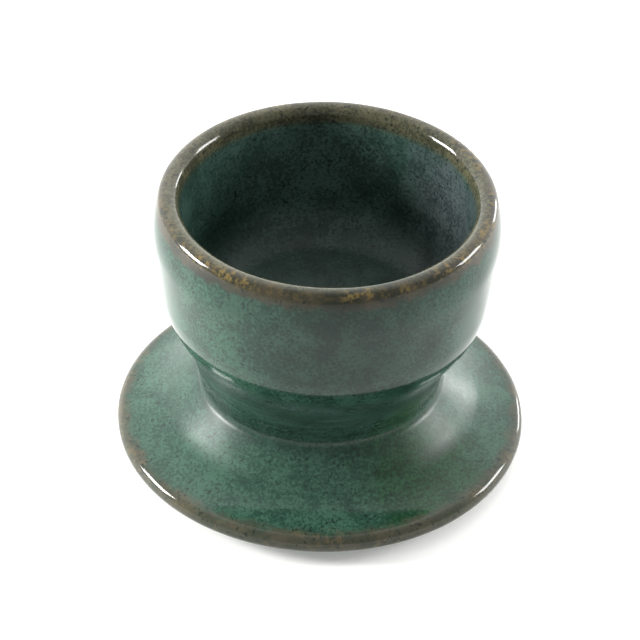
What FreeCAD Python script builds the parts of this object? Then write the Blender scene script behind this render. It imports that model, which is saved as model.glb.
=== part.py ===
import FreeCAD, Part
import math
import os
import Sketcher

# Glazed stoneware inkwell, millimetres, +Z up, origin on the table under the axis.
# A round bowl stands on a narrower collar, and the collar on a wide saucer-shaped base.
# The three were thrown apart, joined leather-hard with slip, and dipped in glaze.

doc = FreeCAD.newDocument("Inkwell")

SIZES = [
    # lip: where the rim's crest is, and the roll of clay that makes it
    ("lip_crest_radius", 29.9, "radius of the lip's crest"),
    ("lip_crest_height", 57.3, "height of the lip's crest"),
    ("lip_roll", 2.0, "roundness of the lip"),
    # outside, from the crest down: arcs by radius and turn, straights by length
    ("lip_turn", 70.0, "turn of the lip outwards"),
    ("belly_bend", 17.5, "radius of the belly's curve"),
    ("belly_turn", 26.0, "turn of the belly"),
    ("wall_run", 10.7, "straight part of the wall"),
    ("under_bend", 21.0, "radius of the curve under the bowl"),
    ("under_turn", 27.5, "turn under the bowl"),
    ("cove_bend", 28.0, "radius of the hollow curve into the collar"),
    ("cove_turn", 17.5, "turn into the collar"),
    ("collar_run", 3.8, "straight foot of the collar"),
    ("seam_bend", 2.5, "radius of the corner where collar meets saucer"),
    ("seam_turn", 66.0, "turn of that corner"),
    ("skirt_run", 5.4, "straight part of the saucer's skirt"),
    ("dish_bend", 20.0, "radius of the saucer's hollow curve"),
    ("dish_turn", 28.0, "turn of the saucer's hollow curve"),
    ("brim_run", 1.2, "straight part of the brim"),
    ("rim_roll", 2.0, "roundness of the saucer's rim"),
    ("rim_turn", 168.0, "turn of the saucer's rim"),
    # inside of the well, from the crest inwards
    ("mouth_turn", 85.0, "turn of the lip into the well"),
    ("well_run", 18.0, "straight part of the well's wall"),
    ("well_bend", 9.0, "radius at the foot of the well's wall"),
    ("well_turn", 77.0, "turn at the foot of the well's wall"),
    ("floor_run", 11.0, "sloping part of the well's floor"),
    ("floor_turn", 8.0, "turn that levels the middle of the floor"),
    # foot and the hollow underneath
    ("foot_outer_radius", 33.5, "outside of the foot ring"),
    ("foot_inner_radius", 30.3, "inside of the foot ring"),
    ("foot_inner_height", 3.0, "height of the foot ring's inner wall"),
    ("glaze_line_height", 1.0, "height where the glaze on the foot stops"),
    ("hollow_radius", 18.0, "radius of the hollow inside the collar"),
    ("hollow_step_height", 10.5, "height where the hollow narrows"),
    ("hollow_top_height", 22.5, "height of the bowl's underside"),
    # glaze coat, and the two joints with their 0.4 of slip
    ("glaze", 0.4, "thickness of the glaze"),
    ("upper_joint_height", 22.1, "top of the collar; the slip joint fills up to the bowl"),
    ("collar_foot_height", 15.6, "foot of the collar"),
    ("lower_joint_height", 15.2, "top of the saucer; the slip joint fills up to the collar"),
    # where one glaze zone ends and the next begins
    ("lip_band_height", 54.2, "lower edge of the lip's glaze"),
    ("wall_middle_low", 24.5, "radius inside the wall's clay at the bowl's underside"),
    ("wall_middle_high", 30.0, "radius inside the wall's clay at the lip band"),
    ("seam_top_height", 16.7, "upper edge of the glaze pooled in the corner"),
    ("seam_foot_height", 13.9, "lower edge of the glaze pooled in the corner"),
    ("rim_band_radius", 35.8, "inner edge of the rim's glaze"),
    ("underside_height", 5.0, "between the saucer's top and its underside"),
    # limits of the drawing
    ("axis", 0.0, "radius of the axis"),
    ("table", 0.0, "height of the table"),
    ("reach", 45.0, "radius beyond everything"),
    ("ceiling", 60.0, "height above everything"),
]

sheet = doc.addObject("Spreadsheet::Sheet", "sizes")
for row, (alias, value, meaning) in enumerate(SIZES, start=1):
    sheet.set("A%d" % row, meaning)
    sheet.set("B%d" % row, str(value))
    sheet.setAlias("B%d" % row, alias)
doc.recompute()


def size(alias):
    """Read one driving dimension from the sheet."""
    return float(sheet.get(alias))


class Outline:
    """A sketch drawn as a path: each piece starts where the last one ended, in line with it."""

    def __init__(self, sketch, radius, height, heading):
        self.sketch = sketch
        self.here = (radius, height)
        self.heading = math.radians(heading)
        self.first = None
        self.last = None

    def constrain(self, *rule, to=None):
        """Add one constraint, tied to the sheet when an expression is given."""
        index = self.sketch.addConstraint(Sketcher.Constraint(*rule))
        if to:
            self.sketch.setExpression("Constraints[%d]" % index, to)

    def _join(self, near, far, smooth):
        """Hang a new piece on the path's end, in line with it or at a corner."""
        if self.last is None:
            self.first = near
        else:
            self.constrain("Tangent" if smooth else "Coincident", *self.last, *near)
        self.last = far

    def _line(self, end, smooth):
        start = FreeCAD.Vector(*self.here, 0)
        geometry = self.sketch.addGeometry(Part.LineSegment(start, FreeCAD.Vector(*end, 0)), False)
        self._join((geometry, 1), (geometry, 2), smooth)
        self.here = end
        return geometry

    def arc(self, bend, turn, side, coat):
        """Turn by an angle, to the left (side 1) or the right (side -1).

        The coat is the number of glaze thicknesses that the path keeps to its left.
        """
        radius = size(bend) - side * coat * size("glaze")
        geometry = self._bow(radius, math.radians(size(turn)), side)
        tie = "sizes.%s - %d * sizes.glaze" % (bend, side * coat)
        self.constrain("Radius", geometry, radius, to=tie)
        self.constrain("Angle", geometry, math.radians(size(turn)), to="sizes.%s * 1deg" % turn)

    def level_arc(self, turn, side):
        """Turn by an angle until the path meets the axis."""
        angle = math.radians(size(turn))
        geometry = self._bow(self.here[0] / math.sin(angle), angle, side)
        self.constrain("Angle", geometry, angle, to="sizes.%s * 1deg" % turn)
        self.constrain("PointOnObject", *self.last, -2)

    def _bow(self, radius, angle, side):
        """Draw an arc of a circle that starts in line with the path."""
        middle = FreeCAD.Vector(
            self.here[0] - side * radius * math.sin(self.heading),
            self.here[1] + side * radius * math.cos(self.heading), 0)
        start = self.heading - side * math.pi / 2
        finish = start + side * angle
        circle = Part.Circle(middle, FreeCAD.Vector(0, 0, 1), radius)
        arc = Part.ArcOfCircle(circle, min(start, finish), max(start, finish))
        geometry = self.sketch.addGeometry(arc, False)
        near, far = (1, 2) if side > 0 else (2, 1)
        self._join((geometry, near), (geometry, far), smooth=True)
        self.here = (middle.x + radius * math.cos(finish), middle.y + radius * math.sin(finish))
        self.heading += side * angle
        return geometry

    def run(self, length):
        """Go straight on."""
        distance = size(length)
        end = (self.here[0] + distance * math.cos(self.heading),
               self.here[1] + distance * math.sin(self.heading))
        geometry = self._line(end, smooth=True)
        self.constrain("Distance", geometry, distance, to="sizes.%s" % length)

    def corner(self, radius=None, height=None, coat=0, smooth=False):
        """Go on to a radius, a height or both, which come from the sheet."""
        end_radius = size(radius) + coat * size("glaze") if radius else self.here[0]
        end_height = size(height) if height else self.here[1]
        geometry = self._line((end_radius, end_height), smooth)
        if radius:
            tie = "sizes.%s + %d * sizes.glaze" % (radius, coat)
            self.constrain("DistanceX", -1, 1, geometry, 2, end_radius, to=tie)
        elif not smooth:
            self.constrain("Vertical", geometry)
        if height:
            self.constrain("DistanceY", -1, 1, geometry, 2, end_height, to="sizes.%s" % height)
        elif not smooth:
            self.constrain("Horizontal", geometry)


def origin_plane(body, role):
    """Find one of a body's own origin planes."""
    return [plane for plane in body.Origin.OriginFeatures if plane.Role == role][0]


def pot_form(name, glazed):
    """Turn the whole pot as one form, with or without its glaze."""
    coat = 0 if glazed else 1
    body = doc.addObject("PartDesign::Body", name)
    sketch = body.newObject("Sketcher::SketchObject", name + "_outline")
    sketch.AttachmentSupport = (origin_plane(body, "XZ_Plane"), [""])
    sketch.MapMode = "FlatFace"
    doc.recompute()
    crest = (size("lip_crest_radius"), size("lip_crest_height") - coat * size("glaze"))

    outside = Outline(sketch, *crest, heading=0)
    outside.arc("lip_roll", "lip_turn", -1, -coat)
    outside.arc("belly_bend", "belly_turn", -1, -coat)
    outside.run("wall_run")
    outside.arc("under_bend", "under_turn", -1, -coat)
    outside.arc("cove_bend", "cove_turn", 1, -coat)
    outside.run("collar_run")
    outside.arc("seam_bend", "seam_turn", 1, -coat)
    outside.run("skirt_run")
    outside.arc("dish_bend", "dish_turn", 1, -coat)
    outside.run("brim_run")
    outside.arc("rim_roll", "rim_turn", -1, -coat)
    if glazed:
        outside.corner(radius="foot_outer_radius", coat=1, smooth=True)
        outside.corner(height="glaze_line_height")
        outside.corner(radius="foot_outer_radius")
    else:
        outside.corner(radius="foot_outer_radius", smooth=True)
    outside.corner(height="table")
    outside.corner(radius="foot_inner_radius")
    outside.corner(height="foot_inner_height")
    outside.corner(radius="hollow_radius", height="hollow_step_height")
    outside.corner(height="hollow_top_height")
    outside.corner(radius="axis")

    inside = Outline(sketch, *crest, heading=180)
    inside.arc("lip_roll", "mouth_turn", 1, coat)
    inside.run("well_run")
    inside.arc("well_bend", "well_turn", -1, coat)
    inside.run("floor_run")
    inside.level_arc("floor_turn", -1)

    crest_height = "sizes.lip_crest_height - %d * sizes.glaze" % coat
    lip = outside.first
    outside.constrain("Vertical", *lip, lip[0], 3)
    outside.constrain("DistanceX", -1, 1, *lip, crest[0], to="sizes.lip_crest_radius")
    outside.constrain("DistanceY", -1, 1, *lip, crest[1], to=crest_height)
    outside.constrain("Tangent", *lip, *inside.first)
    middle = Part.LineSegment(FreeCAD.Vector(*outside.here, 0), FreeCAD.Vector(*inside.here, 0))
    geometry = sketch.addGeometry(middle, False)
    outside.constrain("Coincident", *outside.last, geometry, 1)
    outside.constrain("Coincident", *inside.last, geometry, 2)
    doc.recompute()

    turned = body.newObject("PartDesign::Revolution", name + "_turned")
    turned.Profile = sketch
    turned.ReferenceAxis = (sketch, ["V_Axis"])
    turned.Angle = 360
    doc.recompute()
    return body


def ring(name, bottom, top, inner="axis", outer="reach"):
    """A block of space between two heights and two radii, all from the sheet."""
    block = doc.addObject("Part::Cylinder", name + "_block")
    block.setExpression("Radius", "sizes.%s" % outer)
    block.setExpression("Height", "sizes.%s - sizes.%s" % (top, bottom))
    block.setExpression("Placement.Base.z", "sizes.%s" % bottom)
    if inner == "axis":
        return block
    bore = doc.addObject("Part::Cylinder", name + "_bore")
    bore.setExpression("Radius", "sizes.%s" % inner)
    bore.setExpression("Height", "sizes.%s - sizes.%s" % (top, bottom))
    bore.setExpression("Placement.Base.z", "sizes.%s" % bottom)
    space = doc.addObject("Part::Cut", name + "_space")
    space.Base = block
    space.Tool = bore
    return space


def section(label, form, space):
    """One sub-part: the part of a form that lies inside a block of space."""
    piece = doc.addObject("Part::Common", label)
    piece.Label = label
    piece.Base = form
    piece.Tool = space
    piece.Placement = FreeCAD.Placement()
    return piece


def clay_members(clay):
    """The three thrown members and the two slip joints between them, from the top down."""
    return [
        section("bowl", clay, ring("bowl", "hollow_top_height", "ceiling")),
        section("upper_slip_joint", clay, ring("upper_slip", "upper_joint_height", "hollow_top_height")),
        section("collar", clay, ring("collar", "collar_foot_height", "upper_joint_height")),
        section("lower_slip_joint", clay, ring("lower_slip", "lower_joint_height", "collar_foot_height")),
        section("saucer", clay, ring("saucer", "table", "lower_joint_height")),
    ]


def glaze_coats(glazed, clay):
    """The glaze, parted where one application ends and the next begins."""
    coat = doc.addObject("Part::Cut", "glaze_coat")
    coat.Base = glazed
    coat.Tool = clay
    well = doc.addObject("Part::Cone", "well_space")
    well.setExpression("Radius1", "sizes.wall_middle_low")
    well.setExpression("Radius2", "sizes.wall_middle_high")
    well.setExpression("Height", "sizes.lip_band_height - sizes.hollow_top_height")
    well.setExpression("Placement.Base.z", "sizes.hollow_top_height")
    around = doc.addObject("Part::Cut", "outside_space")
    around.Base = ring("outside", "seam_top_height", "lip_band_height")
    around.Tool = well
    return [
        section("glaze_lip", coat, ring("lip", "lip_band_height", "ceiling")),
        section("glaze_well", coat, well),
        section("glaze_outside", coat, around),
        section("glaze_seam", coat, ring("seam", "seam_foot_height", "seam_top_height")),
        section("glaze_saucer_top", coat,
                ring("top", "underside_height", "seam_foot_height", outer="rim_band_radius")),
        section("glaze_saucer_rim", coat,
                ring("rim", "table", "seam_foot_height", inner="rim_band_radius")),
        section("glaze_saucer_underside", coat,
                ring("underside", "table", "underside_height", outer="rim_band_radius")),
    ]


def check(pieces):
    """Stop if anything failed, or if a sub-part isn't one sound solid."""
    for thing in doc.Objects:
        if "Invalid" in thing.State or "Error" in thing.State:
            raise RuntimeError("%s failed: %s" % (thing.Label, thing.State))
    for piece in pieces:
        shape = piece.Shape
        if shape.isNull() or not shape.isValid() or len(shape.Solids) != 1:
            raise RuntimeError("%s isn't one valid solid" % piece.Label)
        print("%-24s %9.1f mm3" % (piece.Label, shape.Volume))


glazed_form = pot_form("glazed_form", glazed=True)
clay_form = pot_form("clay_form", glazed=False)
pieces = clay_members(clay_form) + glaze_coats(glazed_form, clay_form)
doc.recompute()
check(pieces)

os.makedirs("parts", exist_ok=True)
for piece in pieces:
    piece.Shape.exportStep("parts/%s.step" % piece.Label)
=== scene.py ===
"""A glazed stoneware inkwell: a bowl on a collar, on a saucer-shaped base, all round one axis.

Sizes in the classes are millimetres, as a potter measures. Each finished mesh is in metres.
"""
import logging
import math
from dataclasses import dataclass, field
from enum import Enum
from typing import Callable, Sequence

import bmesh
import bpy
from mathutils import Matrix, Vector, noise


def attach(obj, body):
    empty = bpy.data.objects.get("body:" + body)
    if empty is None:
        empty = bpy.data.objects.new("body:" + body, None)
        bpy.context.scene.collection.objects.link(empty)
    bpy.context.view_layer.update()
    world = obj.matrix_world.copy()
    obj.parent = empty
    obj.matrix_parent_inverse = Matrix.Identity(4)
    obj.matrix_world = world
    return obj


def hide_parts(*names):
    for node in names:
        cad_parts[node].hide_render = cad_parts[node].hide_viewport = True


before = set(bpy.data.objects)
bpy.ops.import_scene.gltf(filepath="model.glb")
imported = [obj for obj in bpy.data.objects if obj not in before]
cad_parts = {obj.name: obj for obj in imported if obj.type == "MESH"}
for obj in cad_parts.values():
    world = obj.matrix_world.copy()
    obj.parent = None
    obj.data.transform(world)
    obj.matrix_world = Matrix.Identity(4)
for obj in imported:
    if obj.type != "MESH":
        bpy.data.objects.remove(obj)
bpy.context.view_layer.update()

MM = 0.001
TURNS = 256            # steps round the axis
STRIDE = 0.3           # length of one step along an outline
ROUNDEST = 5.0         # bends tighter than this take as many steps for each degree as this one
MERGE = 1e-4           # points nearer than this are one
BACKWARDS = Vector((0, -1, 0))   # about this axis, a turn to the left is positive in the XZ plane
CREASE = math.radians(40)        # edges sharper than this stay sharp
SENSOR = 36.0          # width of the camera's sensor
LINE_SPACING = 0.9 * MM          # from one throwing line to the next, in metres
BODY = "root"

VECTOR = "vector"      # marks a group's input as a place
Colour = tuple[float, float, float]
log = logging.getLogger("inkwell")


class Side(Enum):
    """Which part of an outline a cut keeps."""

    ABOVE = (0.0, 0.0, 1.0)
    BELOW = (0.0, 0.0, -1.0)
    OUTSIDE = (1.0, 0.0, 0.0)
    INSIDE = (-1.0, 0.0, 0.0)


@dataclass(frozen=True)
class Cut:
    """One end of a glaze zone: a height or a radius, and the side of it that stays."""

    side: Side
    at: float

    def apply(self, mesh: bmesh.types.BMesh) -> None:
        """Cut a mesh that still lies flat in the XZ plane."""
        normal = Vector(self.side.value)
        point = Vector((abs(normal.x), 0, abs(normal.z))) * self.at
        geometry = mesh.verts[:] + mesh.edges[:] + mesh.faces[:]
        bmesh.ops.bisect_plane(mesh, geom=geometry, dist=MERGE, plane_co=point,
                               plane_no=normal, clear_inner=True)


class Outline:
    """A wire in the XZ plane, drawn as a path that goes on from where it last stopped."""

    def __init__(self, radius: float, height: float, heading: float = 0.0,
                 stride: float = STRIDE) -> None:
        """Start at a point, facing an angle in degrees: 0 is outwards, 90 is up."""
        self.mesh = bmesh.new()
        self.tip = self.mesh.verts.new((radius, 0, height))
        self.heading = math.radians(heading)
        self.stride = stride

    def bend(self, radius: float, turn: float) -> "Outline":
        """Follow an arc, to the left for a positive turn.

        Args:
            radius: the arc's radius.
            turn: how far the path turns, in degrees.

        Returns:
            The outline itself, so that calls can follow each other.
        """
        left = Vector((-math.sin(self.heading), 0, math.cos(self.heading)))
        middle = self.tip.co + math.copysign(radius, turn) * left
        angle = math.radians(turn)
        steps = max(3, math.ceil(abs(angle) * max(radius, ROUNDEST) / self.stride))
        swing = Matrix.Rotation(angle, 3, BACKWARDS)
        end = middle + swing @ (self.tip.co - middle)
        bmesh.ops.spin(self.mesh, geom=[self.tip], cent=middle, axis=BACKWARDS, dvec=(0, 0, 0),
                       angle=angle, steps=steps, use_merge=False, use_duplicate=False)
        self.tip = self._nearest(end)
        self.heading += angle
        return self

    def run(self, length: float) -> "Outline":
        """Go straight on for a length."""
        ahead = Vector((math.cos(self.heading), 0, math.sin(self.heading)))
        return self._go(self.tip.co + ahead * length)

    def to(self, radius: float, height: float) -> "Outline":
        """Go straight to a point."""
        return self._go(Vector((radius, 0, height)))

    def level_to_axis(self, turn: float) -> "Outline":
        """Turn by an angle, in degrees, and end level on the axis."""
        return self.bend(self.tip.co.x / math.sin(math.radians(abs(turn))), turn)

    def trim(self, *cuts: Cut) -> "Outline":
        """Cut the wire, and go on from its lowest point."""
        for cut in cuts:
            cut.apply(self.mesh)
        self.tip = min(self.mesh.verts, key=lambda point: point.co.z)
        return self

    def join(self, other: "Outline") -> "Outline":
        """Take in another outline's wire, joined where the two meet."""
        spare = bpy.data.meshes.new("spare_outline")
        other.mesh.to_mesh(spare)
        other.mesh.free()
        self.mesh.from_mesh(spare)
        bpy.data.meshes.remove(spare)
        bmesh.ops.remove_doubles(self.mesh, verts=self.mesh.verts[:], dist=MERGE)
        return self

    def _go(self, end: Vector) -> "Outline":
        """Draw a straight piece in even steps."""
        way = end - self.tip.co.copy()
        self.heading = math.atan2(way.z, way.x)
        drawn = bmesh.ops.extrude_vert_indiv(self.mesh, verts=[self.tip])
        self.tip = drawn["verts"][0]
        bmesh.ops.translate(self.mesh, verts=[self.tip], vec=way)
        cuts = int(way.length / self.stride)
        if cuts:
            bmesh.ops.subdivide_edges(self.mesh, edges=drawn["edges"], cuts=cuts)
        self.tip = self._nearest(end)
        return self

    def _nearest(self, place: Vector) -> bmesh.types.BMVert:
        """Find the wire's point nearest to a place."""
        return min(self.mesh.verts, key=lambda point: (point.co - place).length)


@dataclass(frozen=True)
class Hand:
    """What the potter's hand leaves: members out of line, and a skin that isn't quite even."""

    bowl_lean: float = 0.4
    collar_lean: float = -0.25
    saucer_height: float = 13.0
    collar_height: float = 18.0
    neck_height: float = 30.0
    bowl_height: float = 32.0
    sway: float = 0.09
    sway_length: float = 24.0
    sway_start: tuple[float, float, float] = (7.0, 3.0, 1.0)
    ripple: float = 0.028
    ripple_length: float = 6.0
    ripple_start: tuple[float, float, float] = (2.0, 9.0, 4.0)
    foot_height: float = 0.5
    still_height: float = 3.0
    still_radius: float = 10.0

    @staticmethod
    def _ease(value: float, low: float, high: float) -> float:
        """Go from 0 to 1 between two values, without a corner."""
        share = min(max((value - low) / (high - low), 0.0), 1.0)
        return share * share * (3 - 2 * share)

    def lean(self, height: float) -> float:
        """How far the pot stands to the right at a height."""
        collar = self._ease(height, self.saucer_height, self.collar_height)
        collar *= 1 - self._ease(height, self.collar_height, self.neck_height)
        bowl = self._ease(height, self.collar_height, self.bowl_height)
        return self.collar_lean * collar + self.bowl_lean * bowl

    def touch(self, mesh: bmesh.types.BMesh) -> None:
        """Move every point of a turned mesh to where the hand left it."""
        for point in mesh.verts:
            place = point.co.copy()
            swaying, rippling = place / self.sway_length, place / self.ripple_length
            sideways = self.sway * noise.noise(swaying) + self.ripple * noise.noise(rippling)
            outward = Vector((place.x, place.y, 0))
            if outward.length > MERGE:
                share = min(1, outward.length / self.still_radius)
                point.co += outward.normalized() * sideways * share
            upwards = (self.sway * noise.noise(swaying + Vector(self.sway_start))
                       + self.ripple * noise.noise(rippling + Vector(self.ripple_start)))
            point.co.z += self._ease(place.z, self.foot_height, self.still_height) * upwards
            point.co.x += self.lean(place.z)


HAND = Hand()


def turn_on_wheel(outline: Outline) -> bmesh.types.BMesh:
    """Turn an outline round the axis.

    Args:
        outline: the wire to turn, used up by this.

    Returns:
        The turned mesh, in millimetres. A closed one faces outwards.
    """
    mesh = outline.mesh
    bmesh.ops.spin(mesh, geom=mesh.verts[:] + mesh.edges[:], cent=(0, 0, 0), axis=(0, 0, 1),
                   dvec=(0, 0, 0), angle=math.tau, steps=TURNS, use_merge=True, use_duplicate=False)
    bmesh.ops.remove_doubles(mesh, verts=mesh.verts[:], dist=MERGE)
    bmesh.ops.dissolve_degenerate(mesh, edges=mesh.edges[:], dist=MERGE)
    bmesh.ops.recalc_face_normals(mesh, faces=mesh.faces[:])
    return mesh


def facing(mesh: bmesh.types.BMesh, away: Callable[[Vector], Vector]) -> None:
    """Turn an open skin over if it faces the wrong way.

    Args:
        mesh: the skin.
        away: gives, for a face's middle, a direction that its outside looks towards.
    """
    votes = sum(math.copysign(1, face.normal.dot(away(face.calc_center_median())))
                for face in mesh.faces)
    if votes < 0:
        bmesh.ops.reverse_faces(mesh, faces=mesh.faces[:])


def finish_mesh(mesh: bmesh.types.BMesh, name: str) -> bpy.types.Object:
    """Make an object of a turned mesh: the hand's touch, soft shading, sharp creases, metres.

    Args:
        mesh: the mesh in millimetres, used up by this.
        name: the object's name.

    Returns:
        The new object, at the origin.
    """
    HAND.touch(mesh)
    mesh.normal_update()
    for face in mesh.faces:
        face.smooth = True
    for edge in mesh.edges:
        edge.smooth = len(edge.link_faces) == 2 and edge.calc_face_angle(0) < CREASE
    bmesh.ops.transform(mesh, matrix=Matrix.Scale(MM, 4), verts=mesh.verts[:])
    data = bpy.data.meshes.new(name)
    mesh.to_mesh(data)
    mesh.free()
    piece = bpy.data.objects.new(name, data)
    bpy.context.scene.collection.objects.link(piece)
    return piece


@dataclass(frozen=True)
class PotForm:
    """The pot's outline as a thrower reads it, from the lip's crest down each side.

    The steps of each side are arcs (radius, turn in degrees) and straight runs (length, 0).
    """

    crest_radius: float = 29.9
    crest_height: float = 57.3
    glaze: float = 0.4
    outside: tuple[tuple[float, float], ...] = (
        (2.0, -70.0), (17.5, -26.0), (10.7, 0.0), (21.0, -27.5), (28.0, 17.5), (3.8, 0.0),
        (2.5, 66.0), (5.4, 0.0), (20.0, 28.0), (1.2, 0.0), (2.0, -168.0))
    inside: tuple[tuple[float, float], ...] = ((2.0, 85.0), (18.0, 0.0), (9.0, -77.0), (11.0, 0.0))
    level: float = -8.0
    foot_outer: float = 33.5
    foot_inner: float = 30.3
    foot_wall: float = 3.0
    glaze_line: float = 1.0
    hollow: float = 18.0
    hollow_step: float = 10.5
    bowl_floor: float = 22.5
    collar_top: float = 22.1
    collar_foot: float = 15.6
    saucer_top: float = 15.2

    @staticmethod
    def _follow(path: Outline, steps: Sequence[tuple[float, float]], coat: float) -> Outline:
        """Follow a side's steps, a coat's thickness to the left."""
        for length, turn in steps:
            if turn:
                path.bend(length - coat * math.copysign(1, turn), turn)
            else:
                path.run(length)
        return path

    def draw_outside(self, coat: float = 0.0, stride: float = STRIDE) -> Outline:
        """Draw the outside from the crest to under the rim, a coat's thickness below the glaze."""
        path = Outline(self.crest_radius, self.crest_height - coat, 0, stride)
        return self._follow(path, self.outside, -coat)

    def draw_inside(self, coat: float = 0.0, stride: float = STRIDE) -> Outline:
        """Draw the well from the crest to its floor's middle, a coat's thickness below the glaze."""
        path = Outline(self.crest_radius, self.crest_height - coat, 180, stride)
        return self._follow(path, self.inside, coat).level_to_axis(self.level)

    def draw_underside(self) -> Outline:
        """Draw the outside on to where the glaze stops on the foot."""
        path = self.draw_outside()
        reach = self.foot_outer + self.glaze
        return path.to(reach, path.tip.co.z).to(reach, self.glaze_line)


FORM = PotForm()


# ---------------------------------------------------------------- nodes


class Nodes:
    """A node tree with short calls for what this pot's finishes need."""

    def __init__(self, tree: bpy.types.NodeTree) -> None:
        """Work in a tree."""
        self.tree = tree

    def add(self, kind: str, **settings: object) -> bpy.types.Node:
        """Add a node of a kind, with settings."""
        node = self.tree.nodes.new("ShaderNode" + kind)
        for name, value in settings.items():
            setattr(node, name, value)
        return node

    def feed(self, node: bpy.types.Node, **inputs: object) -> bpy.types.Node:
        """Link or set a node's inputs, named with underscores for spaces."""
        for name, value in inputs.items():
            socket = node.inputs[name.replace("_", " ")]
            if isinstance(value, bpy.types.NodeSocket):
                self.tree.links.new(value, socket)
            elif isinstance(value, tuple) and len(value) == 3 and socket.type == "RGBA":
                socket.default_value = (*value, 1)
            else:
                socket.default_value = value
        return node

    def maths(self, operation: str, first: object, second: object = 0.0,
              clamp: bool = False) -> bpy.types.NodeSocket:
        """Combine two numbers."""
        node = self.add("Math", operation=operation, use_clamp=clamp)
        for socket, value in zip(node.inputs, (first, second)):
            if isinstance(value, bpy.types.NodeSocket):
                self.tree.links.new(value, socket)
            else:
                socket.default_value = value
        return node.outputs[0]

    def range(self, value: object, low: float, high: float, bottom: float = 0.0,
              top: float = 1.0) -> bpy.types.NodeSocket:
        """Map a stretch of values smoothly to another, held at its ends."""
        node = self.add("MapRange", interpolation_type="SMOOTHSTEP")
        self.feed(node, Value=value, From_Min=low, From_Max=high, To_Min=bottom, To_Max=top)
        return node.outputs["Result"]

    def noise(self, vector: object, scale: float, detail: float = 2.0, rough: float = 0.5,
              distortion: float = 0.0) -> bpy.types.NodeSocket:
        """Cloudy noise, its scale in waves for each metre."""
        node = self.feed(self.add("TexNoise"), Vector=vector, Scale=scale, Detail=detail,
                         Roughness=rough, Distortion=distortion)
        return node.outputs[0]

    def mix(self, share: object, first: object, second: object,
            blend: str = "MIX") -> bpy.types.NodeSocket:
        """Mix two colours by a share."""
        node = self.add("Mix", data_type="RGBA", blend_type=blend)
        sockets = (node.inputs[0], node.inputs[6], node.inputs[7])
        for socket, value in zip(sockets, (share, first, second)):
            if isinstance(value, bpy.types.NodeSocket):
                self.tree.links.new(value, socket)
            elif isinstance(value, tuple):
                socket.default_value = (*value, 1)
            else:
                socket.default_value = value
        return node.outputs[2]

    def place(self) -> bpy.types.NodeSocket:
        """The point on the piece, in metres."""
        return self.add("TexCoord").outputs["Object"]

    def radius(self, vector: object) -> bpy.types.NodeSocket:
        """A point's distance from the axis."""
        x, y, _ = self.parts(vector)
        flat = self.feed(self.add("CombineXYZ"), X=x, Y=y, Z=0.0)
        length = self.add("VectorMath", operation="LENGTH")
        self.tree.links.new(flat.outputs[0], length.inputs[0])
        return length.outputs["Value"]

    def parts(self, vector: object) -> tuple[bpy.types.NodeSocket, ...]:
        """A point's X, Y and Z."""
        return tuple(self.feed(self.add("SeparateXYZ"), Vector=vector).outputs)

    def stir(self, vector: object, scale: float, reach: float) -> bpy.types.NodeSocket:
        """Move a point about by noise, up to a reach in metres each way."""
        noise_node = self.feed(self.add("TexNoise"), Vector=vector, Scale=scale, Detail=3.0,
                               Roughness=0.6)
        centred = self.add("VectorMath", operation="SUBTRACT")
        self.tree.links.new(noise_node.outputs["Color"], centred.inputs[0])
        centred.inputs[1].default_value = (0.5, 0.5, 0.5)
        scaled = self.add("VectorMath", operation="SCALE")
        self.tree.links.new(centred.outputs[0], scaled.inputs[0])
        scaled.inputs["Scale"].default_value = reach * 2
        moved = self.add("VectorMath", operation="ADD")
        self.tree.links.new(vector, moved.inputs[0])
        self.tree.links.new(scaled.outputs[0], moved.inputs[1])
        return moved.outputs[0]


def new_material(name: str) -> tuple[bpy.types.Material, Nodes, bpy.types.Node]:
    """Start a material, and give it with its nodes and its shader."""
    material = bpy.data.materials.new(name)
    material.use_nodes = True
    return material, Nodes(material.node_tree), material.node_tree.nodes["Principled BSDF"]


class Group:
    """A node group that reads a place and some values, and gives one value back."""

    def __init__(self, name: str, result: str, **inputs: float | str) -> None:
        """Start a group.

        Args:
            name: the group's name.
            result: the name of its only output, a number.
            inputs: each input's name, with underscores for spaces, and its default number, or
                VECTOR for a place.
        """
        self.tree = bpy.data.node_groups.new(name, "ShaderNodeTree")
        for label, default in {"Vector": VECTOR, **inputs}.items():
            kind = "NodeSocketVector" if default == VECTOR else "NodeSocketFloat"
            socket = self.tree.interface.new_socket(label.replace("_", " "), in_out="INPUT",
                                                    socket_type=kind)
            if default != VECTOR:
                socket.default_value = default
        self.tree.interface.new_socket(result, in_out="OUTPUT", socket_type="NodeSocketFloat")
        self.nodes = Nodes(self.tree)
        entry = self.tree.nodes.new("NodeGroupInput")
        self.given = {socket.name: socket for socket in entry.outputs if socket.name}
        self.place = self.given["Vector"]

    def give(self, value: bpy.types.NodeSocket) -> bpy.types.NodeTree:
        """End the group with the value that it gives back."""
        leave = self.tree.nodes.new("NodeGroupOutput")
        self.tree.links.new(value, leave.inputs[0])
        return self.tree


def build_flecks() -> bpy.types.NodeTree:
    """Dark specks of iron in a glaze, thick in some places and thin in others."""
    group = Group("iron_flecks", "Specks", Scale=1500.0, Amount=0.5)
    nodes, given = group.nodes, group.given
    fine = nodes.noise(group.place, given["Scale"], 2.0, 0.6)
    cloud = nodes.noise(group.place, 260.0, 2.0)
    level = nodes.maths("SUBTRACT", 0.76, nodes.maths("MULTIPLY", given["Amount"], 0.22))
    thick = nodes.maths("MULTIPLY", nodes.maths("SUBTRACT", cloud, 0.5), 0.25)
    over = nodes.maths("SUBTRACT", fine, nodes.maths("SUBTRACT", level, thick))
    return group.give(nodes.maths("MULTIPLY", over, 9.0, clamp=True))


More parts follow.
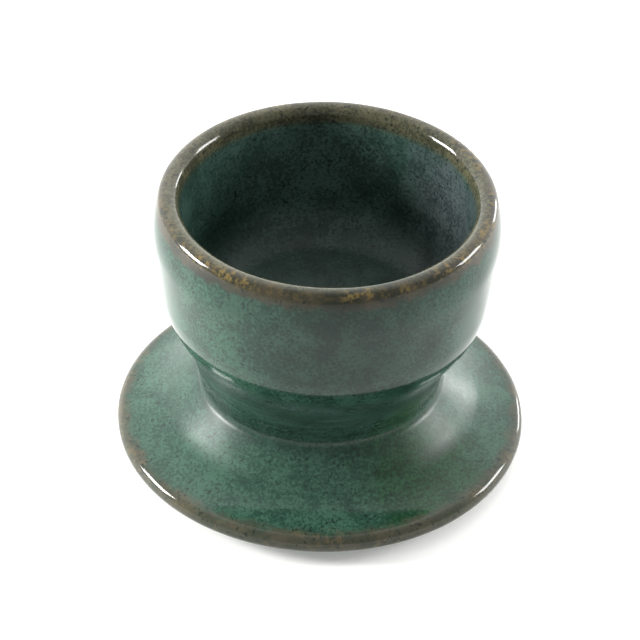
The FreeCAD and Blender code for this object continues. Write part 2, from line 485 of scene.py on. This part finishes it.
def build_mottle() -> bpy.types.NodeTree:
    """Soft clouds and fine grain, as a value about a half."""
    group = Group("mottle", "Value", Cloud=90.0, Grain=1300.0, Grain_share=0.45)
    nodes, given = group.nodes, group.given
    cloud = nodes.noise(group.place, given["Cloud"], 3.0, 0.55, 0.4)
    grain = nodes.noise(group.place, given["Grain"], 2.0, 0.6)
    blended = nodes.add("Mix", data_type="FLOAT")
    for socket, value in zip(blended.inputs, (given["Grain share"], None, cloud, grain)):
        if value is not None:
            nodes.tree.links.new(value, socket)
    return group.give(blended.outputs[0])


def build_bloom() -> bpy.types.NodeTree:
    """A soft round patch about a point, with a ragged edge."""
    group = Group("bloom", "Mask", Middle=VECTOR, Reach=0.02, Ragged=0.3)
    nodes, given = group.nodes, group.given
    away = nodes.add("VectorMath", operation="DISTANCE")
    nodes.tree.links.new(group.place, away.inputs[0])
    nodes.tree.links.new(given["Middle"], away.inputs[1])
    ratio = nodes.maths("DIVIDE", away.outputs["Value"], given["Reach"])
    ragged = nodes.maths("SUBTRACT", nodes.noise(group.place, 170.0, 3.0), 0.5)
    ragged = nodes.maths("MULTIPLY", nodes.maths("MULTIPLY", ragged, given["Ragged"]), 4.0)
    return group.give(nodes.range(nodes.maths("ADD", ratio, ragged), 1.0, 0.3))


def build_skin() -> bpy.types.NodeTree:
    """The fine relief of a fired glaze: soft unevenness and broken throwing lines."""
    group = Group("glaze_skin", "Height", Lines=0.3, Orange_peel=0.5)
    nodes, given = group.nodes, group.given
    height = nodes.parts(group.place)[2]
    waver = nodes.noise(group.place, 60.0, 2.0)
    level = nodes.maths("ADD", height, nodes.maths("MULTIPLY", waver, 0.0012))
    lines = nodes.maths("SINE", nodes.maths("MULTIPLY", level, math.tau / LINE_SPACING))
    broken = nodes.range(nodes.noise(group.place, 140.0, 2.0), 0.35, 0.7)
    lines = nodes.maths("MULTIPLY", nodes.maths("MULTIPLY", lines, broken), given["Lines"])
    peel = nodes.maths("MULTIPLY", nodes.noise(group.place, 420.0, 2.0), given["Orange peel"])
    return group.give(nodes.maths("ADD", peel, lines))


def build_zone() -> bpy.types.NodeTree:
    """A ring-shaped stretch of the pot, between two heights and two radii, with soft ends."""
    group = Group("zone", "Mask", Low=0.0, High=1.0, Near=-1.0, Far=1.0, Feather=0.001)
    nodes, given = group.nodes, group.given

    def between(value: bpy.types.NodeSocket, start: str, end: str) -> bpy.types.NodeSocket:
        """Give 1 where a value is between two of the group's inputs."""
        rise = nodes.maths("SUBTRACT", value, given[start])
        fall = nodes.maths("SUBTRACT", given[end], value)
        ends = (nodes.range(nodes.maths("DIVIDE", part, given["Feather"]), -1.0, 1.0)
                for part in (rise, fall))
        return nodes.maths("MULTIPLY", *ends)

    height = between(nodes.parts(group.place)[2], "Low", "High")
    across = between(nodes.radius(group.place), "Near", "Far")
    return group.give(nodes.maths("MULTIPLY", height, across))


def build_streaks() -> bpy.types.NodeTree:
    """Fine streaks that run round the pot, as the thrower's fingers leave them."""
    group = Group("throwing_streaks", "Value")
    nodes = group.nodes
    flat = nodes.feed(nodes.add("Mapping"), Vector=group.place, Scale=(70.0, 70.0, 1300.0))
    return group.give(nodes.range(nodes.noise(flat.outputs[0], 1.0, 3.0, 0.6), 0.36, 0.64))


class Effects:
    """The shared effects, built once and placed in each finish."""

    def __init__(self) -> None:
        """Build every group."""
        self.flecks = build_flecks()
        self.mottle = build_mottle()
        self.bloom = build_bloom()
        self.skin = build_skin()
        self.zone = build_zone()
        self.streaks = build_streaks()

    @staticmethod
    def put(nodes: Nodes, group: bpy.types.NodeTree, **inputs: object) -> bpy.types.NodeSocket:
        """Place a group in a tree, set or link its inputs, and give its only output."""
        node = nodes.add("Group", node_tree=group)
        nodes.feed(node, **inputs)
        return node.outputs[0]


@dataclass(frozen=True)
class Stretch:
    """A ring-shaped stretch of the pot, in millimetres: heights, radii and its ends' softness."""

    low: float = -10.0
    high: float = 90.0
    near: float = -10.0
    far: float = 90.0
    feather: float = 1.0

    def mask(self, nodes: Nodes, effects: Effects,
             place: bpy.types.NodeSocket) -> bpy.types.NodeSocket:
        """Give 1 inside the stretch and 0 outside it."""
        return effects.put(nodes, effects.zone, Vector=place, Low=self.low * MM,
                           High=self.high * MM, Near=self.near * MM, Far=self.far * MM,
                           Feather=self.feather * MM)


@dataclass(frozen=True)
class Wash:
    """A stretch where the glaze takes other colours."""

    where: Stretch
    light: Colour
    dark: Colour


@dataclass(frozen=True)
class Dulling:
    """A stretch where the glaze is less glossy, and how rough it is there."""

    where: Stretch
    rough: float


@dataclass(frozen=True)
class Bloom:
    """A patch of another colour: its middle and reach in millimetres, and where it stops."""

    colour: Colour
    middle: tuple[float, float, float]
    reach: float
    strength: float = 0.7
    where: Stretch = Stretch()
    shade: float = 0.6
    tint: float = 1.3

    def lay(self, nodes: Nodes, effects: Effects, place: bpy.types.NodeSocket,
            cloud: bpy.types.NodeSocket, colour: bpy.types.NodeSocket) -> bpy.types.NodeSocket:
        """Lay the patch over a colour, clouded as the rest of the glaze is.

        Args:
            nodes: the material's nodes.
            effects: the shared node groups.
            place: the point on the piece.
            cloud: how light the glaze is here, from 0 to 1.
            colour: what the patch lies on.

        Returns:
            The colour with the patch.
        """
        mask = effects.put(nodes, effects.bloom, Vector=place, Reach=self.reach * MM,
                           Middle=tuple(value * MM for value in self.middle))
        mask = nodes.maths("MULTIPLY", mask, self.where.mask(nodes, effects, place))
        own = nodes.mix(cloud, tuple(value * self.shade for value in self.colour),
                        tuple(value * self.tint for value in self.colour))
        return nodes.mix(nodes.maths("MULTIPLY", mask, self.strength), colour, own)


@dataclass(frozen=True)
class Break:
    """Where the glaze runs thin over an edge and turns brown, with amber in a part of it.

    Scales are in waves for each metre, and the ragged edge's reach is in millimetres.
    """

    where: Stretch
    amber_where: Stretch
    brown: Colour = (0.043, 0.038, 0.024)
    dark: Colour = (0.021, 0.023, 0.016)
    amber: Colour = (0.125, 0.092, 0.034)
    ragged: float = 2.0
    edge_scale: float = 330.0
    depth_scale: float = 190.0
    spot_scale: float = 820.0
    spot_level: float = 0.46
    spot_softness: float = 0.16
    cluster_scale: float = 130.0

    def lay(self, nodes: Nodes, effects: Effects, place: bpy.types.NodeSocket,
            colour: bpy.types.NodeSocket) -> bpy.types.NodeSocket:
        """Lay the brown over a colour.

        Args:
            nodes: the material's nodes.
            effects: the shared node groups.
            place: the point on the piece.
            colour: what the brown lies on.

        Returns:
            The colour with the brown edge.
        """
        stirred = nodes.stir(place, self.edge_scale, self.ragged * MM)
        depth = nodes.range(nodes.noise(place, self.depth_scale, 2.0), 0.35, 0.65)
        brown = nodes.mix(depth, self.dark, self.brown)
        spots = nodes.range(nodes.noise(place, self.spot_scale, 3.0, 0.65), self.spot_level,
                            self.spot_level + self.spot_softness)
        clusters = nodes.range(nodes.noise(place, self.cluster_scale, 2.0), 0.42, 0.62, 0.25, 1.0)
        spots = nodes.maths("MULTIPLY", spots, clusters)
        spots = nodes.maths("MULTIPLY", spots, self.amber_where.mask(nodes, effects, place))
        return nodes.mix(self.where.mask(nodes, effects, stirred), colour,
                         nodes.mix(spots, brown, self.amber))


@dataclass(frozen=True)
class PotGlaze:
    """The glaze of the whole pot: one dip, with its washes, patches, breaks, flecks and shine."""

    name: str
    light: Colour
    dark: Colour
    washes: tuple[Wash, ...]
    blooms: tuple[Bloom, ...]
    breaks: tuple[Break, ...]
    streaked: Stretch
    dullings: tuple[Dulling, ...]
    lined: Stretch
    fleck: Colour = (0.006, 0.013, 0.011)
    fleck_amount: float = 0.78
    fleck_strength: float = 0.85
    cloud: float = 140.0
    grain: float = 1700.0
    streak_shade: float = 0.45
    streak_tint: float = 1.25
    shine: float = 0.09
    shine_cloud: float = 210.0
    refraction: float = 1.34
    relief: float = 0.35
    relief_depth: float = 0.05

    def _streak(self, nodes: Nodes, effects: Effects, place: bpy.types.NodeSocket,
                colour: bpy.types.NodeSocket) -> bpy.types.NodeSocket:
        """Streak a colour round the pot, faintly everywhere and strongly on the collar."""
        streaks = effects.put(nodes, effects.streaks, Vector=place)
        share = nodes.range(self.streaked.mask(nodes, effects, place), 0.0, 1.0, 0.12, 0.5)
        dim = nodes.mix(streaks, (self.streak_shade,) * 3, (self.streak_tint,) * 3)
        return nodes.mix(share, colour, nodes.mix(1.0, colour, dim, "MULTIPLY"))

    def _colour(self, nodes: Nodes, effects: Effects,
                place: bpy.types.NodeSocket) -> bpy.types.NodeSocket:
        """Lay the colours over each other, from the dip itself to the flecks."""
        mottle = effects.put(nodes, effects.mottle, Vector=place, Cloud=self.cloud,
                             Grain=self.grain, Grain_share=0.55)
        cloud = nodes.range(mottle, 0.41, 0.59)
        colour = nodes.mix(cloud, self.dark, self.light)
        for wash in self.washes:
            colour = nodes.mix(wash.where.mask(nodes, effects, place), colour,
                               nodes.mix(cloud, wash.dark, wash.light))
        for patch in self.blooms:
            colour = patch.lay(nodes, effects, place, cloud, colour)
        colour = self._streak(nodes, effects, place, colour)
        for edge in self.breaks:
            colour = edge.lay(nodes, effects, place, colour)
        specks = effects.put(nodes, effects.flecks, Vector=place, Amount=self.fleck_amount)
        return nodes.mix(nodes.maths("MULTIPLY", specks, self.fleck_strength), colour, self.fleck)

    def _roughness(self, nodes: Nodes, effects: Effects,
                   place: bpy.types.NodeSocket) -> bpy.types.NodeSocket:
        """Give the shine, a little cloudy, with its duller stretches."""
        cloud = effects.put(nodes, effects.mottle, Vector=place, Cloud=self.shine_cloud)
        rough = nodes.range(cloud, 0.3, 0.7, self.shine * 0.75, self.shine * 1.35)
        for dulling in self.dullings:
            added = nodes.maths("MULTIPLY", dulling.where.mask(nodes, effects, place),
                                dulling.rough - self.shine)
            rough = nodes.maths("ADD", rough, added)
        return rough

    def build(self, effects: Effects) -> bpy.types.Material:
        """Make the material.

        Args:
            effects: the shared node groups.

        Returns:
            The finished material.
        """
        material, nodes, shader = new_material(self.name)
        place = nodes.place()
        lines = nodes.range(self.lined.mask(nodes, effects, place), 0.0, 1.0, 0.06, 0.5)
        height = effects.put(nodes, effects.skin, Vector=place, Lines=lines, Orange_peel=0.5)
        bump = nodes.feed(nodes.add("Bump"), Height=height, Strength=self.relief,
                          Distance=self.relief_depth * MM)
        nodes.feed(shader, Base_Color=self._colour(nodes, effects, place),
                   Roughness=self._roughness(nodes, effects, place), IOR=self.refraction,
                   Normal=bump.outputs["Normal"])
        return material


@dataclass(frozen=True)
class ClayFinish:
    """Bare fired clay: buff, gritty and matt, with trimming lines."""

    name: str
    light: Colour = (0.42, 0.31, 0.21)
    dark: Colour = (0.27, 0.18, 0.11)
    grit: Colour = (0.07, 0.04, 0.025)
    grit_amount: float = 0.35
    cloud: float = 120.0
    relief: float = 0.7
    relief_depth: float = 0.1

    def build(self, effects: Effects) -> bpy.types.Material:
        """Make the material from the shared groups."""
        material, nodes, shader = new_material(self.name)
        place = nodes.place()
        cloud = effects.put(nodes, effects.mottle, Vector=place, Cloud=self.cloud)
        colour = nodes.mix(nodes.range(cloud, 0.35, 0.65), self.dark, self.light)
        grit = effects.put(nodes, effects.flecks, Vector=place, Amount=self.grit_amount)
        colour = nodes.mix(grit, colour, self.grit)
        height = effects.put(nodes, effects.skin, Vector=place, Lines=0.8, Orange_peel=1.0)
        rough = nodes.range(cloud, 0.3, 0.7, 0.72, 0.9)
        bump = nodes.feed(nodes.add("Bump"), Height=height, Strength=self.relief,
                          Distance=self.relief_depth * MM)
        nodes.feed(shader, Base_Color=colour, Roughness=rough, Normal=bump.outputs["Normal"])
        return material


CLAY = ClayFinish("bare_stoneware")
SLIP = ClayFinish("fired_slip", light=(0.36, 0.26, 0.17), dark=(0.24, 0.16, 0.10))

SLATE = (0.010, 0.027, 0.021)
SEA_GREEN = (0.027, 0.078, 0.049)
MOSS = (0.012, 0.046, 0.018)
# painted light and reflection: a pale patch on the well's right wall, where the left lamp's light
# falls
WELL_RIGHT_PAINTED_LIGHT = (0.044, 0.054, 0.056)
# painted light: makes the back wall of the well lighter, standing in for the light that falls on it
WELL_BACK_PAINTED_LIGHT = (0.058, 0.102, 0.086)
# a darker patch on the middle of the well's floor
WELL_FLOOR_DARK = (0.008, 0.027, 0.020)

WELL = Stretch(low=26.0, high=54.0, far=29.2, feather=0.9)
GLAZE = PotGlaze(
    "pot_glaze", light=(0.026, 0.064, 0.044), dark=(0.009, 0.031, 0.021),
    washes=(
        Wash(Stretch(high=27.5, feather=2.0),
             light=(0.022, 0.055, 0.040), dark=(0.010, 0.030, 0.021)),
        Wash(Stretch(high=13.5, feather=1.0),
             light=(0.038, 0.090, 0.061), dark=(0.017, 0.047, 0.032)),
        # painted light: this wash makes the inside of the well lighter than the outside's glaze,
        # standing in for the soft light that fills the well
        Wash(WELL, light=(0.034, 0.066, 0.054), dark=(0.017, 0.038, 0.030)),
        Wash(Stretch(low=54.0, near=26.5, far=31.3, feather=1.0),
             light=(0.082, 0.080, 0.048), dark=(0.036, 0.037, 0.023))),
    blooms=(
        Bloom(SLATE, (8, -32, 44), 22, 0.75), Bloom(SEA_GREEN, (-24, -22, 42), 16, 0.6),
        Bloom(SEA_GREEN, (26, 20, 40), 16, 0.5), Bloom(SLATE, (-26, 22, 36), 16, 0.6),
        Bloom(MOSS, (23, -26, 9), 20, 0.85), Bloom(MOSS, (19, -18, 12), 13, 0.6),
        # the second bloom here is painted light on the well's right wall, not a glaze colour
        Bloom(MOSS, (-10, 32, 8), 16, 0.5), Bloom(WELL_RIGHT_PAINTED_LIGHT, (24, 12, 44), 21, 0.85, WELL),
        # painted light on the well's back wall
        Bloom(WELL_BACK_PAINTED_LIGHT, (-2, 29, 44), 24, 0.8, WELL),
        # darker towards the middle of the well's floor
        Bloom(WELL_FLOOR_DARK, (0, 0, 26.5), 19, 0.85, WELL)),
    breaks=(
        Break(Stretch(low=54.4, near=30.1, feather=0.7), Stretch(low=55.9, feather=0.6)),
        Break(Stretch(high=9.0, near=38.0, feather=1.2), Stretch(feather=1.0),
              brown=(0.056, 0.054, 0.037), dark=(0.034, 0.041, 0.028),
              amber=(0.078, 0.068, 0.040))),
    streaked=Stretch(low=15.0, high=27.0, near=20.0, feather=1.5),
    dullings=(
        Dulling(Stretch(low=20.0, high=37.0, far=27.5, feather=3.0), 0.42),
        Dulling(Stretch(low=6.0, high=16.2, near=21.0, far=31.0, feather=1.6), 0.34)),
    lined=Stretch(low=15.0, high=28.0, near=20.0, feather=2.0))


# ---------------------------------------------------------------- sub-assemblies


@dataclass
class GlazeCoat:
    """The glaze over the whole pot, in zones whose ends are heights and one radius.

    The last three sizes place rings that a zone's outside faces away from.
    """

    form: PotForm = FORM
    lip_edge: float = 54.2
    seam_top: float = 16.7
    seam_foot: float = 13.9
    rim_edge: float = 35.8
    underside: float = 5.0
    rim_middle: float = 4.2
    under_middle: float = 34.5
    far_off: float = 40.0
    glaze: PotGlaze = GLAZE
    pieces: list[bpy.types.Object] = field(default_factory=list)

    def _coat(self, zone: str, outline: Outline, away: Callable[[Vector], Vector],
              finish: bpy.types.Material) -> None:
        """Turn one zone, give it its thickness and dress it."""
        mesh = turn_on_wheel(outline)
        facing(mesh, away)
        bmesh.ops.solidify(mesh, geom=mesh.faces[:], thickness=self.form.glaze)
        piece = finish_mesh(mesh, zone + "_glaze_coat")
        piece.data.materials.append(finish)
        settle(piece, "glaze_" + zone)
        self.pieces.append(piece)

    def build(self, effects: Effects) -> list[bpy.types.Object]:
        """Make every zone, from the lip down.

        Args:
            effects: the shared node groups.

        Returns:
            The glaze pieces.
        """
        form, glaze = self.form, self.glaze.build(effects)
        below_lip, above_seam = Cut(Side.BELOW, self.lip_edge), Cut(Side.ABOVE, self.seam_top)
        below_seam, inner = Cut(Side.BELOW, self.seam_foot), Cut(Side.INSIDE, self.rim_edge)
        lip = form.draw_outside().join(form.draw_inside()).trim(Cut(Side.ABOVE, self.lip_edge))
        self._coat("lip", lip, away_from_ring(form.crest_radius, self.lip_edge), glaze)
        well = form.draw_inside().trim(below_lip)
        self._coat("well", well, towards_point(form.crest_height), glaze)
        outside = form.draw_outside().trim(below_lip, above_seam)
        self._coat("outside", outside, away_from_ring(0, 0), glaze)
        seam = form.draw_outside().trim(Cut(Side.BELOW, self.seam_top),
                                        Cut(Side.ABOVE, self.seam_foot))
        self._coat("seam", seam, away_from_ring(0, 0), glaze)
        top = form.draw_outside().trim(below_seam, Cut(Side.ABOVE, self.underside), inner)
        self._coat("saucer_top", top, away_from_ring(0, -self.far_off), glaze)
        rim = form.draw_underside().trim(below_seam, Cut(Side.OUTSIDE, self.rim_edge))
        self._coat("saucer_rim", rim, away_from_ring(self.rim_edge, self.rim_middle), glaze)
        under = form.draw_underside().trim(Cut(Side.BELOW, self.underside), inner)
        self._coat("saucer_underside", under, away_from_ring(self.under_middle, self.far_off),
                   glaze)
        return self.pieces


def away_from_ring(radius: float, height: float) -> Callable[[Vector], Vector]:
    """Give the direction away from a ring round the axis."""
    def direction(place: Vector) -> Vector:
        """Point from the ring to a place."""
        ring = Vector((place.x, place.y, 0)).normalized() * radius
        return place - ring - Vector((0, 0, height))
    return direction


def towards_point(height: float) -> Callable[[Vector], Vector]:
    """Give the direction towards a point on the axis."""
    return lambda place: Vector((0, 0, height)) - place


def settle(piece: bpy.types.Object, node: str) -> None:
    """Say which body a piece rides on, and hide the part that it stands for."""
    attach(piece, BODY)
    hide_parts(node)


@dataclass
class ClayBody:
    """The three thrown members and the slip between them."""

    form: PotForm = FORM
    foot_round: float = 0.5
    stride: float = 0.8
    pieces: list[bpy.types.Object] = field(default_factory=list)

    def _member(self, name: str, outline: Outline, clay: bpy.types.Material) -> None:
        """Turn one closed member and dress it."""
        piece = finish_mesh(turn_on_wheel(outline), "thrown_" + name)
        piece.data.materials.append(clay)
        settle(piece, name)
        self.pieces.append(piece)

    def _band(self, low: float, high: float) -> Outline:
        """Draw a ring between two heights, open inside as the hollow is."""
        form = self.form
        path = form.draw_outside(form.glaze, self.stride)
        path.trim(Cut(Side.BELOW, high), Cut(Side.ABOVE, low))
        top = max(path.mesh.verts, key=lambda point: point.co.z).co.copy()
        return path.to(form.hollow, low).to(form.hollow, high).to(top.x, top.z)

    def _bowl(self) -> Outline:
        """Draw the bowl with its well and its flat underside."""
        form = self.form
        path = form.draw_outside(form.glaze, self.stride).trim(Cut(Side.ABOVE, form.bowl_floor))
        path.to(0, form.bowl_floor)
        return path.join(form.draw_inside(form.glaze, self.stride))

    def _saucer(self) -> Outline:
        """Draw the saucer with its foot ring, whose edges are softened."""
        form, soft = self.form, self.foot_round
        path = form.draw_outside(form.glaze, self.stride).trim(Cut(Side.BELOW, form.saucer_top))
        top = max(path.mesh.verts, key=lambda point: point.co.z).co.copy()
        path.to(form.foot_outer, path.tip.co.z).to(form.foot_outer, soft).bend(soft, -90)
        path.to(form.foot_inner + soft, 0).bend(soft, -90)
        path.to(form.foot_inner, form.foot_wall).to(form.hollow, form.hollow_step)
        return path.to(form.hollow, form.saucer_top).to(top.x, top.z)

    def build(self, effects: Effects) -> list[bpy.types.Object]:
        """Make the bowl, collar, saucer and both slip joints.

        Args:
            effects: the shared node groups.

        Returns:
            The clay pieces.
        """
        form = self.form
        clay, slip = CLAY.build(effects), SLIP.build(effects)
        upper, lower = (form.collar_top, form.bowl_floor), (form.saucer_top, form.collar_foot)
        self._member("bowl", self._bowl(), clay)
        self._member("upper_slip_joint", self._band(*upper), slip)
        self._member("collar", self._band(form.collar_foot, form.collar_top), clay)
        self._member("lower_slip_joint", self._band(*lower), slip)
        self._member("saucer", self._saucer(), clay)
        return self.pieces


# ---------------------------------------------------------------- studio


@dataclass(frozen=True)
class Lamp:
    """A soft box, by its bearing from the camera's side, its height angle and its distance."""

    name: str
    bearing: float
    rise: float
    distance: float
    width: float
    height: float
    watts: float

    def build(self, aim: Vector) -> None:
        """Hang the lamp, facing a point."""
        data = bpy.data.lights.new(self.name, "AREA")
        data.shape, data.energy = "RECTANGLE", self.watts
        data.size, data.size_y = self.width, self.height
        lamp = bpy.data.objects.new(self.name, data)
        bpy.context.scene.collection.objects.link(lamp)
        bearing, rise = math.radians(self.bearing), math.radians(self.rise)
        way = Vector((math.cos(rise) * math.sin(bearing), -math.cos(rise) * math.cos(bearing),
                      math.sin(rise)))
        lamp.location = aim + self.distance * way
        lamp.rotation_euler = (aim - lamp.location).to_track_quat("-Z", "Y").to_euler()


@dataclass
class Studio:
    """Table, lamps, sky and camera."""

    aim: tuple[float, float, float] = (0.0, 0.0, 0.03)
    lamps: tuple[Lamp, ...] = (
        Lamp("left_softbox", -92, 20, 0.9, 0.32, 0.26, 17),
        Lamp("right_softbox", 101, 18, 0.9, 0.32, 0.26, 7),
        Lamp("right_back_card", 136, 4, 1.3, 0.3, 0.3, 4.0))
    table_colour: Colour = (0.78, 0.78, 0.765)
    table_half: float = 3.0
    table_rough: float = 0.6
    table_glow: float = 0.3
    front_glow: float = 0.45
    back_glow: float = 2.6
    sky_front: float = -0.35
    sky_back: float = 0.6
    pitch: float = 38.2
    roll: float = 1.57
    distance: float = 0.5355
    lens: float = 151.875
    target: tuple[float, float, float] = (-0.00052, 0.0, 0.0042)
    lift: float = 0.01792

    def lay_table(self) -> None:
        """Lay a plain pale table."""
        mesh = bmesh.new()
        bmesh.ops.create_grid(mesh, x_segments=1, y_segments=1, size=self.table_half)
        data = bpy.data.meshes.new("table")
        mesh.to_mesh(data)
        mesh.free()
        table = bpy.data.objects.new("table", data)
        bpy.context.scene.collection.objects.link(table)
        material, nodes, shader = new_material("pale_table")
        nodes.feed(shader, Base_Color=self.table_colour, Roughness=self.table_rough,
                   Emission_Color=self.table_colour, Emission_Strength=self.table_glow)
        data.materials.append(material)

    def light_sky(self) -> None:
        """Light the room: bright behind the pot, dim in front of it."""
        world = bpy.data.worlds.new("room")
        bpy.context.scene.world = world
        world.use_nodes = True
        nodes = Nodes(world.node_tree)
        sky = world.node_tree.nodes["Background"]
        ahead = nodes.parts(nodes.add("TexCoord").outputs["Generated"])[1]
        nodes.feed(sky, Strength=nodes.range(ahead, self.sky_front, self.sky_back,
                                             self.front_glow, self.back_glow))
        sky.inputs["Color"].default_value = (1, 1, 1, 1)

    def set_camera(self) -> None:
        """Set the camera up, looking down at the pot with a slight roll."""
        data = bpy.data.cameras.new("camera")
        data.lens, data.sensor_width = self.lens, SENSOR
        camera = bpy.data.objects.new("camera", data)
        bpy.context.scene.collection.objects.link(camera)
        pitch, roll = math.radians(self.pitch), math.radians(self.roll)
        ahead = Vector((0, math.cos(pitch), -math.sin(pitch)))
        rise = Vector((0, math.sin(pitch), math.cos(pitch)))
        across = Vector((1, 0, 0))
        place = Vector(self.target) - ahead * self.distance + rise * self.lift
        right = across * math.cos(roll) + rise * math.sin(roll)
        up = rise * math.cos(roll) - across * math.sin(roll)
        turn = Matrix((right, up, -ahead)).transposed()
        camera.matrix_world = Matrix.Translation(place) @ turn.to_4x4()
        bpy.context.scene.camera = camera

    def build(self) -> None:
        """Set up everything round the pot."""
        self.lay_table()
        self.light_sky()
        for lamp in self.lamps:
            lamp.build(Vector(self.aim))
        self.set_camera()
        bpy.context.scene.view_settings.view_transform = "Standard"


def main() -> None:
    """Build the pot and the studio."""
    logging.basicConfig(level=logging.INFO, format="%(message)s")
    effects = Effects()
    for assembly in (GlazeCoat(), ClayBody()):
        for piece in assembly.build(effects):
            log.info("%-30s %6d faces", piece.name, len(piece.data.polygons))
    Studio().build()


if __name__ == "__main__":
    main()
